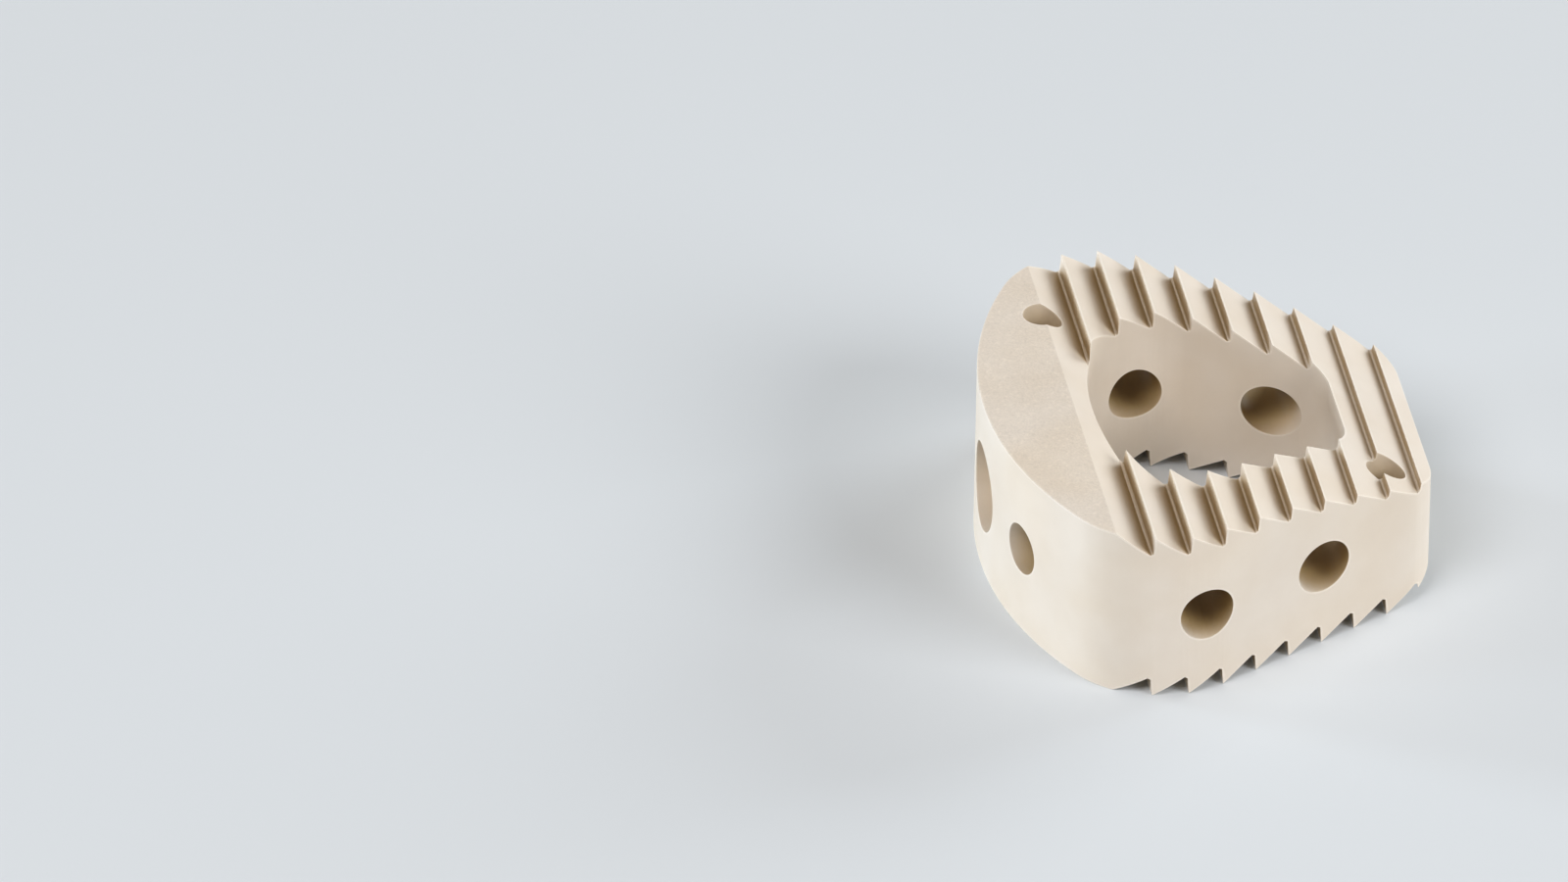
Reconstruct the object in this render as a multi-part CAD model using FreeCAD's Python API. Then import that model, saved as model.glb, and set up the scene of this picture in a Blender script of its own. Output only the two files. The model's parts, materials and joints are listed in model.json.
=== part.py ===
# Spinal interbody cage for the neck: one polymer body with a graft window,
# saw-toothed bearing faces and drilled walls. Millimetres, +Z up,
# X across the patient, +Y towards the back. The origin lies under the
# middle of the footprint, on the plane of the lower tooth tips.
import FreeCAD, Part
import math
import os

os.makedirs("parts", exist_ok=True)
V = FreeCAD.Vector

# Footprint
WIDTH = 14.56
DEPTH = 11.9
HEIGHT = 5.02
FRONT_RADIUS = 11.6
FRONT_CORNER = 2.87
SIDE_TAPER = 28.6
BACK_CORNER = 1.9

# Graft window walls
FRONT_WALL = 3.0
SIDE_WALL = 2.4
BACK_WALL = 2.16
WINDOW_FRONT_CORNER = 2.0
WINDOW_BACK_CORNER = 1.3

# Teeth
LAND = 2.43
PITCH = 1.0
TEETH = 9
TOOTH_DROP = 0.54
ROOT_RUN = 0.08
ROOT_RISE = 0.05
FLANK_RUN = 0.04

# Tooth-tip lines: domed on top, flat with a raised last tooth below
DOME_START = 2.2
DOME_RADIUS = 16.5
DOME_END = 7.0
LOWER_RISE_START = 8.0
LOWER_RISE_SLOPE = 0.33

# Drillings
HOLE_HEIGHT = 2.43
SIDE_HOLE = 1.52
SIDE_HOLE_FIRST = 2.49
SIDE_HOLE_SPACING = 3.53
DRIVER_HOLE = 2.52
PIN_HOLE = 1.43
PIN_HOLE_HEIGHT = 2.49
PIN_HOLE_OFFSET = 3.3
PIN_HOLE_DEPTH = 2.0
MARKER_HOLE = 1.07
MARKER_DEPTH = 1.5
MARKER_FRONT = (-4.31, -0.04)
MARKER_BACK = (2.79, 8.15)

# Where the land ends and the teeth begin, seen from the origin
front = -DEPTH / 2
back = DEPTH / 2
land_end = front + LAND
taper = math.radians(SIDE_TAPER)
side_normal = V(math.cos(taper), math.sin(taper), 0)


def corner_on_side(offset, y_level, radius):
    # Centre of a back corner touching the side line and the line y = y_level
    y = y_level - radius
    x = (offset - radius - side_normal.y * y) / side_normal.x
    return V(x, y, 0)


def corner_on_arc(offset, arc_centre, arc_radius, radius):
    # Centre of a front corner touching the side line and the front arc
    along = V(-side_normal.y, side_normal.x, 0)
    foot = side_normal * (offset - radius)
    to_foot = foot - arc_centre
    half = to_foot.dot(along)
    rest = to_foot.dot(to_foot) - (arc_radius - radius) ** 2
    shift = -half - math.sqrt(half * half - rest)
    return foot + along * shift


def footprint(arc_centre, arc_radius, front_corner, front_r, back_corner, back_r):
    # Closed face: front arc, two front corners, tapered sides, back corners
    out = (front_corner - arc_centre).normalize()
    joint = arc_centre + out * arc_radius
    side_front = front_corner + side_normal * front_r
    side_back = back_corner + side_normal * back_r
    back_joint = back_corner + V(0, back_r, 0)
    turn = (out + side_normal).normalize()
    round_front = front_corner + turn * front_r
    lean = (side_normal + V(0, 1, 0)).normalize()
    round_back = back_corner + lean * back_r
    right = [joint, round_front, side_front, side_back, round_back, back_joint]
    left = [V(-p.x, p.y, 0) for p in right]
    apex = arc_centre - V(0, arc_radius, 0)
    edges = [Part.Arc(left[0], apex, right[0]).toShape()]
    edges.append(Part.Arc(right[0], right[1], right[2]).toShape())
    edges.append(Part.makeLine(right[2], right[3]))
    edges.append(Part.Arc(right[3], right[4], right[5]).toShape())
    edges.append(Part.makeLine(right[5], left[5]))
    edges.append(Part.Arc(left[5], left[4], left[3]).toShape())
    edges.append(Part.makeLine(left[3], left[2]))
    edges.append(Part.Arc(left[2], left[1], left[0]).toShape())
    return Part.Face(Part.Wire(edges))


# Outer wall
arc_centre = V(0, front + FRONT_RADIUS, 0)
corner_x = WIDTH / 2 - FRONT_CORNER
reach = FRONT_RADIUS - FRONT_CORNER
corner_y = arc_centre.y - math.sqrt(reach ** 2 - corner_x ** 2)
outer_front = V(corner_x, corner_y, 0)
side_offset = outer_front.dot(side_normal) + FRONT_CORNER
outer_back = corner_on_side(side_offset, back, BACK_CORNER)
outer = footprint(arc_centre, FRONT_RADIUS, outer_front, FRONT_CORNER,
                  outer_back, BACK_CORNER)

# Graft window, its walls parallel to the outer ones
window_offset = side_offset - SIDE_WALL
window_radius = FRONT_RADIUS - FRONT_WALL
window_back = corner_on_side(window_offset, back - BACK_WALL, WINDOW_BACK_CORNER)
window_front = corner_on_arc(window_offset, arc_centre, window_radius,
                             WINDOW_FRONT_CORNER)
window = footprint(arc_centre, window_radius, window_front, WINDOW_FRONT_CORNER,
                   window_back, WINDOW_BACK_CORNER)


def upper_tip(run):
    # Height of the upper tip line at a distance behind the land
    on_arc = min(max(run, DOME_START), DOME_END) - DOME_START
    fall = DOME_RADIUS - math.sqrt(DOME_RADIUS ** 2 - on_arc ** 2)
    slope = on_arc / math.sqrt(DOME_RADIUS ** 2 - on_arc ** 2)
    return HEIGHT - fall - slope * max(run - DOME_END, 0)


def lower_tip(run):
    return LOWER_RISE_SLOPE * max(run - LOWER_RISE_START, 0)


def tooth_line(tip, inward):
    # Side view of one bearing face, from the front to past the back wall:
    # each ramp ends in a small slanted foot, from which the flank stands up
    points = [V(0, front - 1, tip(0))]
    for i in range(TEETH):
        start = i * PITCH
        root = tip(start) + inward * TOOTH_DROP
        flank = land_end + start + PITCH - FLANK_RUN
        points.append(V(0, land_end + start, tip(start)))
        points.append(V(0, flank - ROOT_RUN, root))
        points.append(V(0, flank, root - inward * ROOT_RISE))
    last = TEETH * PITCH
    face_slope = TOOTH_DROP / (PITCH - FLANK_RUN - ROOT_RUN)
    beyond = back + 1 - land_end - last
    points.append(V(0, land_end + last, tip(last)))
    points.append(V(0, back + 1, tip(last) + inward * face_slope * beyond))
    return points


# Saw-toothed slab, cut to the footprint
upper = tooth_line(upper_tip, -1)
lower = tooth_line(lower_tip, 1)
profile = Part.Face(Part.makePolygon(upper + lower[::-1] + upper[:1]))
profile.translate(V(-WIDTH, 0, 0))
slab = profile.extrude(V(2 * WIDTH, 0, 0))
body = outer.extrude(V(0, 0, HEIGHT)).common(slab)
well = window.extrude(V(0, 0, HEIGHT + 2))
well.translate(V(0, 0, -1))
body = body.cut(well)

# Cross drillings through both side walls
for i in range(2):
    y = land_end + SIDE_HOLE_FIRST + i * SIDE_HOLE_SPACING
    start = V(-WIDTH, y, HOLE_HEIGHT)
    drill = Part.makeCylinder(SIDE_HOLE / 2, 2 * WIDTH, start, V(1, 0, 0))
    body = body.cut(drill)

# Driver hole into the window, and a blind pin hole on each side of it
start = V(0, front - 1, HOLE_HEIGHT)
drill = Part.makeCylinder(DRIVER_HOLE / 2, FRONT_WALL + 2, start, V(0, 1, 0))
body = body.cut(drill)
drop_back = FRONT_RADIUS - math.sqrt(FRONT_RADIUS ** 2 - PIN_HOLE_OFFSET ** 2)
for side in (-1, 1):
    start = V(side * PIN_HOLE_OFFSET, front - 1, PIN_HOLE_HEIGHT)
    length = 1 + drop_back + PIN_HOLE_DEPTH
    drill = Part.makeCylinder(PIN_HOLE / 2, length, start, V(0, 1, 0))
    body = body.cut(drill)

# Marker holes, sunk from the upper face at two opposite corners
for x, run in (MARKER_FRONT, MARKER_BACK):
    floor = upper_tip(run) - MARKER_DEPTH
    start = V(x, land_end + run, floor)
    drill = Part.makeCylinder(MARKER_HOLE / 2, HEIGHT, start, V(0, 0, 1))
    body = body.cut(drill)

shape = body.Solids[0]
shape.exportStep("parts/cage_body.step")
box = shape.BoundBox
print("solids", len(body.Solids), "valid", shape.isValid(), "volume", shape.Volume)
print("size", box.XLength, box.YLength, box.ZLength)
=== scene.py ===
import bpy
import json
import math
from mathutils import Matrix, Vector


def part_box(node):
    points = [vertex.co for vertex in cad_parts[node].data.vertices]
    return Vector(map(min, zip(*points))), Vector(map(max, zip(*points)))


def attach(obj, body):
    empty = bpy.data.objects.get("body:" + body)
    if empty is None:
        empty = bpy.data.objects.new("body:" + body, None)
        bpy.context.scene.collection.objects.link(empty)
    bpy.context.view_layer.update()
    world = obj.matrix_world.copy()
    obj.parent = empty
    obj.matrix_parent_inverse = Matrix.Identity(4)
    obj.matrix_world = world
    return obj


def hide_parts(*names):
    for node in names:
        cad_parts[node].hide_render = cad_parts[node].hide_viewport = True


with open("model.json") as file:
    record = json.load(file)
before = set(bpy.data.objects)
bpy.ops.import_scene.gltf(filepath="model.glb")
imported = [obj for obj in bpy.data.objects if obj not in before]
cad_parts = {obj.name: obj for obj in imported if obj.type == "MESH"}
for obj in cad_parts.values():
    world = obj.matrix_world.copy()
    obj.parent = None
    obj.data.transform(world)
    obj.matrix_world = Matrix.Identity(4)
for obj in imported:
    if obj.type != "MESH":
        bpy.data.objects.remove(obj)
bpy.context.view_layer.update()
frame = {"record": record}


# The cage body.
# A spinal interbody cage for the neck, milled from one bar of ivory implant
# polymer: a rounded block, less the gaps between its teeth, the graft window
# and the drillings. Its edges are broken at the end.

MILLIMETRE = 0.001
low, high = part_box("cage_body")
mounts = {mount["name"]: mount for mount in frame["record"]["mounts"]}

# Sizes in millimetres, and the side taper as an angle. Each one is an input of
# the cage's node tree.
cage_sizes = {
    "Width": (high.x - low.x) / MILLIMETRE,
    "Depth": (high.y - low.y) / MILLIMETRE,
    "Height": (high.z - low.z) / MILLIMETRE,
    "Front radius": 11.6,
    "Front corner": 2.87,
    "Side taper": math.radians(28.6),
    "Back corner": 1.9,
    "Front wall": 3.0,
    "Side wall": 2.4,
    "Back wall": 2.16,
    "Window front corner": 2.0,
    "Window back corner": 1.3,
    "Land": 2.43,
    "Pitch": 1.0,
    "Teeth": 9,
    "Tooth drop": 0.54,
    "Root run": 0.08,
    "Root rise": 0.05,
    "Flank run": 0.04,
    "Dome start": 2.2,
    "Dome radius": 16.5,
    "Dome end": 7.0,
    "Lower rise start": 8.0,
    "Lower rise slope": 0.33,
    "Hole height": 2.43,
    "Side hole": 1.52,
    "Side hole first": 2.49,
    "Side hole spacing": 3.53,
    "Driver hole": 2 * mounts["driver_hole"]["dims"]["r_mm"],
    "Pin hole": 2 * mounts["pin_hole_right"]["dims"]["r_mm"],
    "Pin hole height": 2.49,
    "Pin hole offset": 3.3,
    "Pin hole depth": 2.0,
    "Marker hole": 2 * mounts["marker_hole_front"]["dims"]["r_mm"],
    "Marker depth": 1.5,
    "Weld": 0.02,
}

# Where the marker holes are: to the right, and behind the end of the land
MARKERS = ((-4.31, -0.04), (2.79, 8.15))

# The tools: how far they reach past the body, how thick a tooth cutter is, what
# gap closes its seams, and how long the marker drill is
OVERRUN = 1
CUTTER_THICKNESS = 3.0
CUTTER_WELD = 0.0001
MARKER_DRILL = 3.0

# How many points draw each round form
FRONT_POINTS = 43
FRONT_CORNER_POINTS = 25
BACK_CORNER_POINTS = 15
DRILL_POINTS = 56

# The turn from which an outer edge is broken and an inner one stays a crease,
# and how wide a broken edge is
SHARP = math.radians(25)
BROKEN_EDGE = 0.018

QUARTER_TURN = math.pi / 2


class Size:
    # A size on its way through a node tree: sums written with it become Math nodes
    def __init__(self, tree, socket):
        self.tree = tree
        self.socket = socket

    def step(self, operation, *others):
        node = self.tree.nodes.new("ShaderNodeMath")
        node.operation = operation
        for slot, value in zip(node.inputs, (self,) + others):
            feed(self.tree, slot, value)
        return Size(self.tree, node.outputs[0])

    def __add__(self, other):
        return self.step("ADD", other)

    def __sub__(self, other):
        return self.step("SUBTRACT", other)

    def __rsub__(self, other):
        return self.step("MULTIPLY_ADD", -1, other)

    def __mul__(self, other):
        return self.step("MULTIPLY", other)

    def __truediv__(self, other):
        return self.step("DIVIDE", other)

    def __neg__(self):
        return self.step("MULTIPLY", -1)

    def root(self):
        return self.step("SQRT")


def feed(tree, slot, value):
    # Gives a node's socket a number, a size, another node's output or a point
    if isinstance(value, Size):
        tree.links.new(value.socket, slot)
    elif isinstance(value, bpy.types.NodeSocket):
        tree.links.new(value, slot)
    elif isinstance(value, bpy.types.Node):
        tree.links.new(value.outputs[0], slot)
    elif isinstance(value, tuple) and any(isinstance(v, Size) for v in value):
        point = tree.nodes.new("ShaderNodeCombineXYZ")
        for corner, part in zip(point.inputs, value):
            feed(tree, corner, part)
        tree.links.new(point.outputs[0], slot)
    elif isinstance(value, list):
        for each in value:
            feed(tree, slot, each)
    else:
        slot.default_value = value


def add(tree, kind, settings=None, **inputs):
    # Adds one node; its inputs are named with underscores for spaces
    node = tree.nodes.new(kind)
    for name, value in (settings or {}).items():
        setattr(node, name, value)
    for name, value in inputs.items():
        feed(tree, node.inputs[name.replace("_", " ")], value)
    return node


def new_tree(name, lengths):
    # A geometry tree with one number input per size, and its sizes by name
    tree = bpy.data.node_groups.new(name, "GeometryNodeTree")
    sockets = tree.interface
    for length in lengths:
        sockets.new_socket(length, in_out="INPUT", socket_type="NodeSocketFloat")
    sockets.new_socket("Geometry", in_out="OUTPUT", socket_type="NodeSocketGeometry")
    source = tree.nodes.new("NodeGroupInput")
    sizes = {length: Size(tree, source.outputs[length]) for length in lengths}
    return tree, sizes


def close_tree(tree, result):
    target = tree.nodes.new("NodeGroupOutput")
    feed(tree, target.inputs[0], result)


# Rounded block: the hull of a front arc and the arcs of its four corners,
# drawn at two heights. Both the outside and the window have this form.
block, s = new_tree("rounded block", [
    "Arc centre", "Arc radius", "Front x", "Front y", "Front corner",
    "Back x", "Back y", "Back corner", "Taper", "Bottom", "Top"])


def arc(radius, start, sweep, points, centre):
    curve = add(block, "GeometryNodeCurveArc", {"mode": "RADIUS"}, Resolution=points,
                Radius=radius, Start_Angle=start, Sweep_Angle=sweep)
    mesh = add(block, "GeometryNodeCurveToMesh", Curve=curve)
    return add(block, "GeometryNodeTransform", Geometry=mesh, Translation=centre)


lean = (s["Front x"] / (s["Arc radius"] - s["Front corner"])).step("ARCSINE")
front = arc(s["Arc radius"], -QUARTER_TURN - lean, lean * 2, FRONT_POINTS,
            (0.0, s["Arc centre"], s["Bottom"]))
front_corner = arc(s["Front corner"], lean - QUARTER_TURN,
                   QUARTER_TURN - lean + s["Taper"], FRONT_CORNER_POINTS,
                   (s["Front x"], s["Front y"], s["Bottom"]))
back_corner = arc(s["Back corner"], s["Taper"], QUARTER_TURN - s["Taper"],
                  BACK_CORNER_POINTS, (s["Back x"], s["Back y"], s["Bottom"]))
corners = add(block, "GeometryNodeJoinGeometry", Geometry=[front_corner, back_corner])
twins = add(block, "GeometryNodeTransform", Geometry=corners, Scale=(-1, 1, 1))
lower_ring = add(block, "GeometryNodeJoinGeometry", Geometry=[front, corners, twins])
upper_ring = add(block, "GeometryNodeTransform", Geometry=lower_ring,
                 Translation=(0.0, 0.0, s["Top"] - s["Bottom"]))
rings = add(block, "GeometryNodeJoinGeometry", Geometry=[lower_ring, upper_ring])
close_tree(block, add(block, "GeometryNodeConvexHull", Geometry=rings))


def dome_fall(s, run):
    # How far the dome has fallen at a distance behind the end of the land
    start, radius, end = s["Dome start"], s["Dome radius"], s["Dome end"]
    bend = start.step("MAXIMUM", run).step("MINIMUM", end) - start
    upright = (radius * radius - bend * bend).root()
    return radius - upright + bend / upright * (run - end).step("MAXIMUM", 0)


# Tooth cutter: the side view of one bearing face as a line of points, swept
# across the cage and thickened away from it. A first point stands in front of
# the cage, and then each tooth has three: its tip, its root and the foot of
# the flank behind it. The line ends with one more tip and root.
cutter, s = new_tree("tooth cutter", [
    "Land end", "Front", "Width", "Tip height", "Pitch", "Teeth", "Drop",
    "Root run", "Root rise", "Flank run", "Dome start", "Dome radius", "Dome end",
    "Rise start", "Rise slope", "Away"])
line = add(cutter, "GeometryNodeMeshLine", {"mode": "OFFSET"},
           Count=s["Teeth"] * 3 + 3)
index = Size(cutter, cutter.nodes.new("GeometryNodeInputIndex").outputs[0])
first = index.step("LESS_THAN", 0.5)
place = (index - 1).step("MAXIMUM", 0)
tooth = (place / 3).step("FLOOR")
corner = place - tooth * 3
past_tip = corner.step("GREATER_THAN", 0.5)
root = corner.step("COMPARE", 1, 0.1)
foot = past_tip - root
run = tooth * s["Pitch"]
along = run + past_tip * (s["Pitch"] - s["Flank run"]) - root * s["Root run"]
rise = (run - s["Rise start"]).step("MAXIMUM", 0) * s["Rise slope"]
tip = s["Tip height"] - dome_fall(s, run) + rise
drawn = add(cutter, "GeometryNodeSetPosition", Geometry=line,
            Position=(-s["Width"],
                      s["Land end"] + along - first * (s["Land end"] - s["Front"] + OVERRUN),
                      tip + past_tip * s["Drop"] + foot * s["Root rise"]))
swept = add(cutter, "GeometryNodeExtrudeMesh", {"mode": "EDGES"}, Mesh=drawn,
            Offset=(s["Width"] * 2, 0.0, 0.0))
lifted = add(cutter, "GeometryNodeExtrudeMesh", {"mode": "FACES"}, Mesh=swept,
             Offset=(0.0, 0.0, s["Away"]), Individual=False)
under = add(cutter, "GeometryNodeFlipFaces", Mesh=swept)
both = add(cutter, "GeometryNodeJoinGeometry", Geometry=[lifted, under])
close_tree(cutter, add(cutter, "GeometryNodeMergeByDistance", Geometry=both,
                       Distance=CUTTER_WELD))

# The whole cage: the outer block, less the two tooth cutters, the window and
# the drills. Every tangent point follows from the sizes above.
body, s = new_tree("spinal cage", list(cage_sizes))


def drill(diameter, length, turn, start, spacing=(0, 0, 0), count=1):
    # A row of drills: cylinders stood on the points of a line
    tool = add(body, "GeometryNodeMeshCylinder", {"fill_type": "NGON"},
               Vertices=DRILL_POINTS, Radius=diameter / 2, Depth=length)
    points = add(body, "GeometryNodeMeshLine", {"mode": "OFFSET"}, Count=count,
                 Start_Location=start, Offset=spacing)
    row = add(body, "GeometryNodeInstanceOnPoints", Points=points,
              Instance=tool.outputs["Mesh"], Rotation=turn)
    return add(body, "GeometryNodeRealizeInstances", Geometry=row)


side_x = s["Side taper"].step("COSINE")
side_y = s["Side taper"].step("SINE")
front_y = -s["Depth"] / 2
back_y = s["Depth"] / 2
land_end = front_y + s["Land"]
centre = front_y + s["Front radius"]

# The outer wall: each corner touches the tapered side, and the front arc or the
# back line.
corner_x = s["Width"] / 2 - s["Front corner"]
reach = s["Front radius"] - s["Front corner"]
corner_y = centre - (reach * reach - corner_x * corner_x).root()
side = corner_x * side_x + corner_y * side_y + s["Front corner"]
outer_back_y = back_y - s["Back corner"]
outer_back_x = (side - s["Back corner"] - side_y * outer_back_y) / side_x
outer = add(body, "GeometryNodeGroup", {"node_tree": block},
            Arc_centre=centre, Arc_radius=s["Front radius"],
            Front_x=corner_x, Front_y=corner_y, Front_corner=s["Front corner"],
            Back_x=outer_back_x, Back_y=outer_back_y, Back_corner=s["Back corner"],
            Taper=s["Side taper"], Bottom=-OVERRUN, Top=s["Height"] + OVERRUN)

# The window's walls run parallel to the outer ones, and its corners touch them
# in the same way.
window_side = side - s["Side wall"]
window_radius = s["Front radius"] - s["Front wall"]
foot_x = side_x * (window_side - s["Window front corner"])
foot_y = side_y * (window_side - s["Window front corner"]) - centre
half = foot_y * side_x - foot_x * side_y
inset = window_radius - s["Window front corner"]
shift = -half - (half * half - (foot_x * foot_x + foot_y * foot_y - inset * inset)).root()
window_back_y = back_y - s["Back wall"] - s["Window back corner"]
window_back_x = (window_side - s["Window back corner"] - side_y * window_back_y) / side_x
window = add(body, "GeometryNodeGroup", {"node_tree": block},
             Arc_centre=centre, Arc_radius=window_radius,
             Front_x=foot_x - side_y * shift, Front_y=foot_y + centre + side_x * shift,
             Front_corner=s["Window front corner"], Back_x=window_back_x,
             Back_y=window_back_y, Back_corner=s["Window back corner"],
             Taper=s["Side taper"], Bottom=-2 * OVERRUN, Top=s["Height"] + 2 * OVERRUN)

shared = dict(Land_end=land_end, Front=front_y, Pitch=s["Pitch"], Teeth=s["Teeth"],
              Root_run=s["Root run"], Flank_run=s["Flank run"],
              Dome_radius=s["Dome radius"])
above = add(body, "GeometryNodeGroup", {"node_tree": cutter}, Width=s["Width"],
            Tip_height=s["Height"], Away=CUTTER_THICKNESS, Drop=-s["Tooth drop"],
            Root_rise=s["Root rise"], Dome_start=s["Dome start"],
            Dome_end=s["Dome end"], **shared)
below = add(body, "GeometryNodeGroup", {"node_tree": cutter}, Width=-s["Width"],
            Tip_height=0.0, Away=-CUTTER_THICKNESS, Drop=s["Tooth drop"],
            Root_rise=-s["Root rise"], Rise_start=s["Lower rise start"],
            Rise_slope=s["Lower rise slope"], **shared)

side_drills = drill(s["Side hole"], s["Width"] * 2, (0, QUARTER_TURN, 0),
                    (0.0, land_end + s["Side hole first"], s["Hole height"]),
                    (0.0, s["Side hole spacing"], 0.0), 2)
driver = drill(s["Driver hole"], s["Front wall"] + 2 * OVERRUN, (-QUARTER_TURN, 0, 0),
               (0.0, front_y + s["Front wall"] / 2, s["Hole height"]))
drop_back = s["Front radius"] - (s["Front radius"] * s["Front radius"]
                                 - s["Pin hole offset"] * s["Pin hole offset"]).root()
pin_length = drop_back + s["Pin hole depth"] + OVERRUN
pins = drill(s["Pin hole"], pin_length, (-QUARTER_TURN, 0, 0),
             (-s["Pin hole offset"], front_y - OVERRUN + pin_length / 2,
              s["Pin hole height"]),
             (s["Pin hole offset"] * 2, 0.0, 0.0), 2)
drills = [side_drills, driver, pins]
for x, run in MARKERS:
    bottom = s["Height"] - dome_fall(s, run) - s["Marker depth"]
    drills.append(drill(s["Marker hole"], MARKER_DRILL, (0, 0, 0),
                        (x, land_end + run, bottom + MARKER_DRILL / 2)))

milled = add(body, "GeometryNodeMeshBoolean",
             {"operation": "DIFFERENCE", "solver": "MANIFOLD"},
             Mesh_1=outer, Mesh_2=[above, below, window] + drills)
welded = add(body, "GeometryNodeMergeByDistance", Geometry=milled.outputs["Mesh"],
             Distance=s["Weld"])
ridge = Size(body, body.nodes.new("GeometryNodeInputMeshEdgeAngle").outputs["Signed Angle"])
marked = add(body, "GeometryNodeStoreNamedAttribute",
             {"data_type": "FLOAT", "domain": "EDGE"}, Geometry=welded,
             Name="bevel_weight_edge", Value=ridge.step("GREATER_THAN", SHARP))
shaded = add(body, "GeometryNodeSetShadeSmooth", Geometry=marked)
creased = add(body, "GeometryNodeSetShadeSmooth", {"domain": "EDGE"}, Geometry=shaded,
              Selection=ridge.step("LESS_THAN", -SHARP), Shade_Smooth=False)
whole = add(body, "GeometryNodeRealizeInstances", Geometry=creased)
finished = add(body, "GeometryNodeSetMaterial", Geometry=whole)
close_tree(body, finished)

# Its finish is satin ivory. Painted shade makes the grooves and drillings brown,
# the more closed in the browner, and a painted highlight makes convex edges pale.
# The two lands are blasted. Reaches and spacings are in metres.
PLAIN = (1, 1, 1)
IVORY_DARK = (0.720, 0.634, 0.536)
IVORY_LIGHT = (0.770, 0.690, 0.596)
# Painted shade: these browns stand in for the shade in the grooves between the teeth, darkest
# at the roots
GROOVE_PAINTED_SHADE = (0.66, 0.54, 0.30)
ROOT_PAINTED_SHADE = (0.47, 0.358, 0.155)
# Painted shade: these browns stand in for the shade inside the drillings, darkest deepest in
DRILLED_RIM_PAINTED_SHADE = (0.76, 0.655, 0.45)
DRILLED_PAINTED_SHADE = (0.66, 0.53, 0.285)
DEEP_PAINTED_SHADE = (0.37, 0.265, 0.115)
WARM_TINT = (1.008, 0.999, 0.982)
COOL_TINT = (0.993, 1.000, 1.014)
# Painted highlight: a pale cool tint on convex edges
EDGE_PAINTED_HIGHLIGHT = (1.10, 1.12, 1.15)
# Reaches of the painted groove shade, the painted drilling shade and the painted edge
# highlight
GROOVE_SHADE_REACH = 0.001
DRILLED_SHADE_REACH = 0.0025
EDGE_HIGHLIGHT_REACH = 0.00007
CLOUD_SPACING = 0.0016
WARMTH_SPACING = 0.0031
GRAIN_SPACING = 0.00006
SPECK_SPACING = 0.00013
LAND_TOLERANCE = 0.00002
# The marker holes and this margin round them are kept at least this open, so they get less
# painted shade
MARKER_MARGIN = 0.00003
MARKER_OPENNESS = 0.5

# Tone, roughness and relief of the milled faces, and what the blasted lands,
# their peaks and pits and the clouds add to them
BLASTED_TONE = 0.24
MILLED_TONE = 0.02
PEAK_LEVEL = 0.70
PEAK_TONE = 0.05
PIT_LEVEL = 0.29
PIT_TONE = 0.04
BLASTED_ROUGHNESS = 0.25
CLOUD_ROUGHNESS = 0.12
MILLED_ROUGHNESS = 0.38
BLASTED_RELIEF = 0.9
MILLED_RELIEF = 0.1
RELIEF_DEPTH = 0.000012
GLOSS = 0.35

polymer = bpy.data.materials.new("ivory_implant_polymer")
polymer.use_nodes = True
finish = polymer.node_tree
skin = finish.nodes["Principled BSDF"]
place = finish.nodes.new("ShaderNodeTexCoord").outputs["Object"]


def shades(value, stops):
    # Turns a number into a colour by a row of (place, colour) stops
    node = add(finish, "ShaderNodeValToRGB", Fac=value)
    band = node.color_ramp
    while len(band.elements) < len(stops):
        band.elements.new(0.5)
    for element, (position, colour) in zip(band.elements, stops):
        element.position = position
        element.color = colour + (1,)
    return node.outputs["Color"]


def noise(spacing, detail):
    node = add(finish, "ShaderNodeTexNoise", Vector=place, Scale=1 / spacing,
               Detail=detail)
    return Size(finish, node.outputs["Fac"])


def tinted(first, second):
    node = finish.nodes.new("ShaderNodeVectorMath")
    node.operation = "MULTIPLY"
    feed(finish, node.inputs[0], first)
    feed(finish, node.inputs[1], second)
    return node.outputs[0]


def hollow(reach, inside=False):
    # How open a place is, from 0 to 1, as far as the reach, outwards or inwards
    settings = {"only_local": True, "samples": 6, "inside": inside}
    node = add(finish, "ShaderNodeAmbientOcclusion", settings, Distance=reach)
    return node.outputs["AO"]


split = add(finish, "ShaderNodeSeparateXYZ", Vector=place)
across = Size(finish, split.outputs["X"])
along = Size(finish, split.outputs["Y"])
rise = Size(finish, split.outputs["Z"])
ahead = along.step("LESS_THAN", low.y + cage_sizes["Land"] * MILLIMETRE)
flat = (rise.step("GREATER_THAN", high.z - LAND_TOLERANCE)
        + rise.step("LESS_THAN", low.z + LAND_TOLERANCE))
blasted = ahead * flat
clouds = noise(CLOUD_SPACING, 3.0)
grain = noise(GRAIN_SPACING, 2.0)
specks = noise(SPECK_SPACING, 0.0)
peaks = specks.step("GREATER_THAN", PEAK_LEVEL) * PEAK_TONE
pits = specks.step("LESS_THAN", PIT_LEVEL) * PIT_TONE
speckle = (grain - 0.5) * (blasted * BLASTED_TONE + MILLED_TONE) + (peaks - pits) * blasted + 1
ivory = shades(clouds, [(0.25, IVORY_DARK), (0.75, IVORY_LIGHT)])
warmth = shades(noise(WARMTH_SPACING, 2.0), [(0.35, WARM_TINT), (0.65, COOL_TINT)])
# Painted highlight: convex edges, found by looking inwards, are made paler and cooler
edges = shades(hollow(EDGE_HIGHLIGHT_REACH, True), [(0.72, EDGE_PAINTED_HIGHLIGHT), (0.97, PLAIN)])
# Painted shade in the grooves: the less open a place is within a millimetre, the browner
painted_groove_shade = shades(hollow(GROOVE_SHADE_REACH),
                 [(0.35, ROOT_PAINTED_SHADE), (0.47, GROOVE_PAINTED_SHADE), (0.56, PLAIN)])
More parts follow.
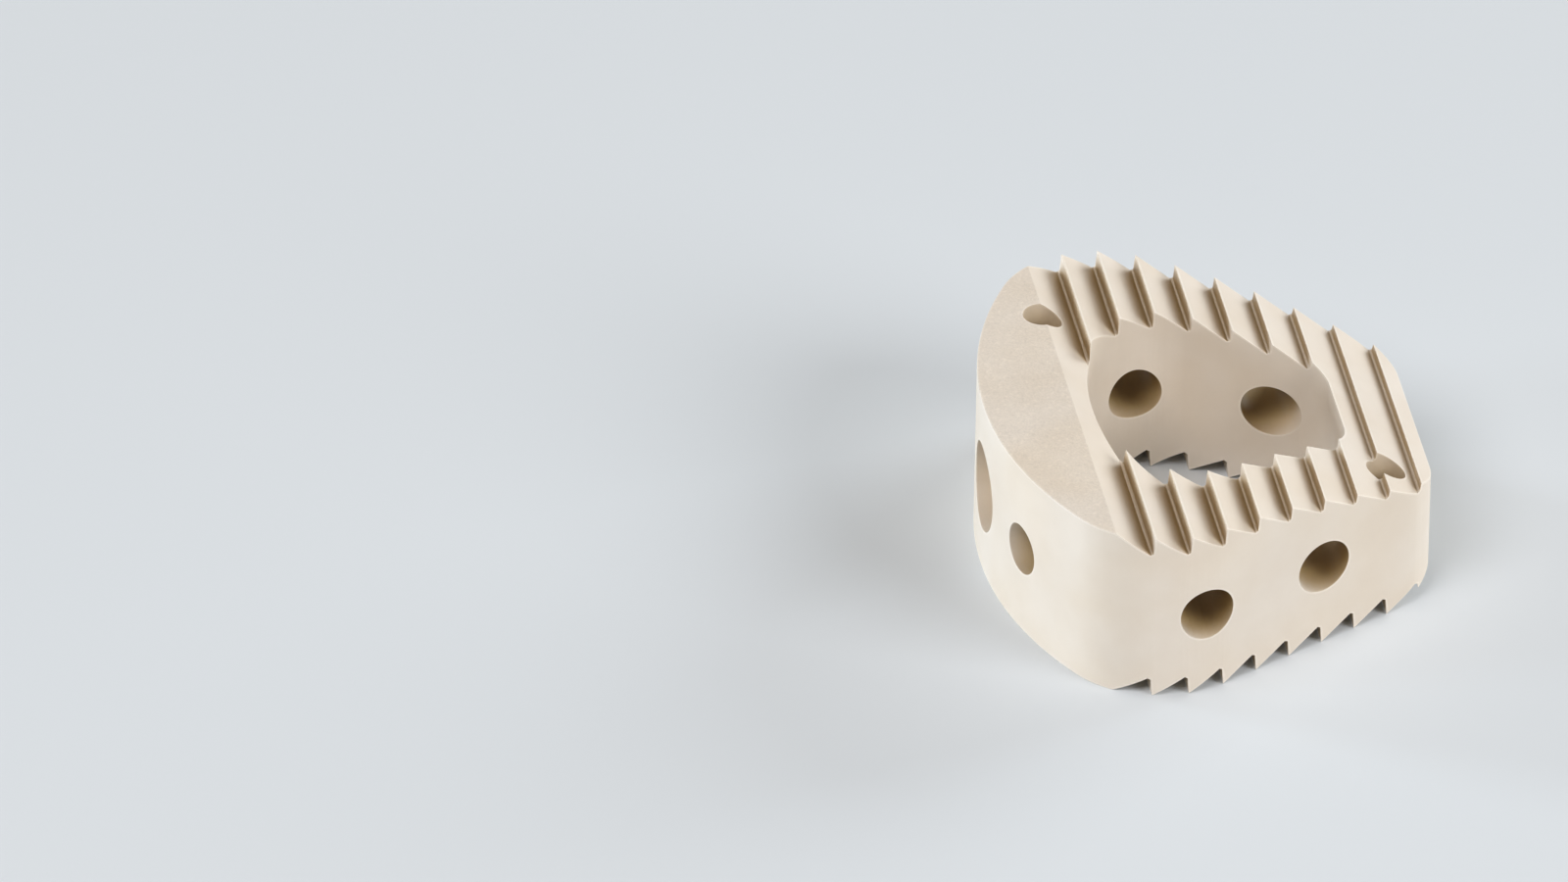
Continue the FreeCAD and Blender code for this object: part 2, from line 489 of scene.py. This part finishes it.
# The marker holes get less of the painted shade of the drillings
rim = cage_sizes["Marker hole"] / 2 * MILLIMETRE + MARKER_MARGIN
in_marker = 0
for x, run in MARKERS:
    aside = across - x * MILLIMETRE
    behind = along - (low.y + (cage_sizes["Land"] + run) * MILLIMETRE)
    gap = (aside * aside + behind * behind).root()
    in_marker = gap.step("LESS_THAN", rim) + in_marker
# Painted shade in the drillings: the less open a place is within 2.5 mm, the browner and
# darker
openness = Size(finish, hollow(DRILLED_SHADE_REACH)).step("MAXIMUM", in_marker * MARKER_OPENNESS)
painted_drilled_shade = shades(openness, [(0.10, DEEP_PAINTED_SHADE), (0.22, DRILLED_PAINTED_SHADE),
                            (0.40, DRILLED_RIM_PAINTED_SHADE), (0.58, PLAIN)])
# The ivory tone, warmth and grain with the painted edge highlight, times the painted shade of
# grooves and drillings
tone_and_edge_highlight = tinted(tinted(ivory, warmth), tinted((speckle, speckle, speckle), edges))
colour = tinted(tone_and_edge_highlight, tinted(painted_groove_shade, painted_drilled_shade))
roughness = blasted * BLASTED_ROUGHNESS + clouds * CLOUD_ROUGHNESS + MILLED_ROUGHNESS
relief = (grain - 0.5) * (blasted * BLASTED_RELIEF + MILLED_RELIEF)
bumps = add(finish, "ShaderNodeBump", Strength=1.0, Distance=RELIEF_DEPTH, Height=relief)
feed(finish, skin.inputs["Base Color"], colour)
feed(finish, skin.inputs["Roughness"], roughness)
feed(finish, skin.inputs["Specular IOR Level"], GLOSS)
feed(finish, skin.inputs["Normal"], bumps)
finished.inputs["Material"].default_value = polymer

cage = bpy.data.objects.new("cage", bpy.data.meshes.new("cage"))
bpy.context.collection.objects.link(cage)
milling = cage.modifiers.new("milling", "NODES")
milling.node_group = body
sockets = {item.name: item.identifier for item in body.interface.items_tree
           if item.in_out == "INPUT"}
for name, value in cage_sizes.items():
    milling[sockets[name]] = float(value)
broken = cage.modifiers.new("broken edges", "BEVEL")
broken.width = BROKEN_EDGE
broken.segments = 2
broken.limit_method = "WEIGHT"
broken.use_clamp_overlap = False
shine = cage.modifiers.new("flats stay flat", "WEIGHTED_NORMAL")
shine.mode = "FACE_AREA"
shine.weight = 80
shine.keep_sharp = True
shaped = cage.evaluated_get(bpy.context.evaluated_depsgraph_get())
mesh = bpy.data.meshes.new_from_object(shaped)
cage.modifiers.clear()
mesh.transform(Matrix.Scale(MILLIMETRE, 4))
cage.data = mesh
cage.data.name = "cage"
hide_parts("cage_body")
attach(cage, "root")


# The floor.
# A plain pale table top, wide enough to fill every view. It isn't part of
# the object.

bpy.ops.mesh.primitive_plane_add(size=4)
floor = bpy.context.object
floor.name = "floor"
table = bpy.data.materials.new("pale_table")
table.use_nodes = True
top = table.node_tree.nodes["Principled BSDF"]
top.inputs["Base Color"].default_value = (0.70, 0.74, 0.78, 1)
top.inputs["Roughness"].default_value = 0.9
floor.data.materials.append(table)


# The lights.
# Large soft lamps round the object, and a pale warm sky. None of them is part
# of the object. Azimuth 0 is the front wall's side, and 90 the right.

LAMP_DISTANCE = 0.5


def lamp(name, azimuth, elevation, size, watts, colour):
    light = bpy.data.lights.new(name, "AREA")
    light.shape = "DISK"
    light.size = size
    light.energy = watts
    light.color = colour
    holder = bpy.data.objects.new(name, light)
    bpy.context.collection.objects.link(holder)
    a, e = math.radians(azimuth), math.radians(elevation)
    away = Vector((math.sin(a) * math.cos(e), -math.cos(a) * math.cos(e), math.sin(e)))
    holder.location = away * LAMP_DISTANCE
    holder.rotation_euler = away.to_track_quat("Z", "Y").to_euler()


lamp("back_left_lamp", -150, 17, 0.3, 1.5, (0.91, 0.965, 1.0))
lamp("back_right_lamp", 138, 28, 0.3, 1.51, (0.97, 0.98, 0.99))
lamp("front_left_lamp", -30, 7, 0.12, 1.3, (0.83, 0.925, 1.0))
lamp("front_lamp", 0, 7, 0.12, 0.71, (0.79, 0.91, 1.0))
lamp("key_lamp", 42, 50, 0.3, 1.23, (1.0, 0.97, 0.965))

sky = bpy.data.worlds.new("sky")
sky.use_nodes = True
glow = sky.node_tree.nodes["Background"]
glow.inputs["Color"].default_value = (1.0, 0.88, 0.70, 1)
glow.inputs["Strength"].default_value = 0.16
bpy.context.scene.world = sky


# The camera.
# A long lens, almost without perspective, at the photograph's viewing angle.

CAMERA_DISTANCE = 0.8875666
camera = bpy.data.cameras.new("camera")
camera.lens = 750.49
camera.sensor_width = 36
camera.clip_start = 0.05
camera.clip_end = 20
viewer = bpy.data.objects.new("camera", camera)
bpy.context.collection.objects.link(viewer)
right = Vector((0.17009474, 0.98530328, 0.01565948))
up = Vector((-0.53723471, 0.07939863, 0.83968728))
back = Vector((0.82610329, -0.15123921, 0.54284441))
aim = Vector((-0.0029646, -0.010876, 0.0024622))
turn = Matrix((right, up, back)).transposed().to_4x4()
viewer.matrix_world = Matrix.Translation(aim + back * CAMERA_DISTANCE) @ turn
bpy.context.scene.camera = viewer

bpy.context.scene.view_settings.view_transform = "Standard"
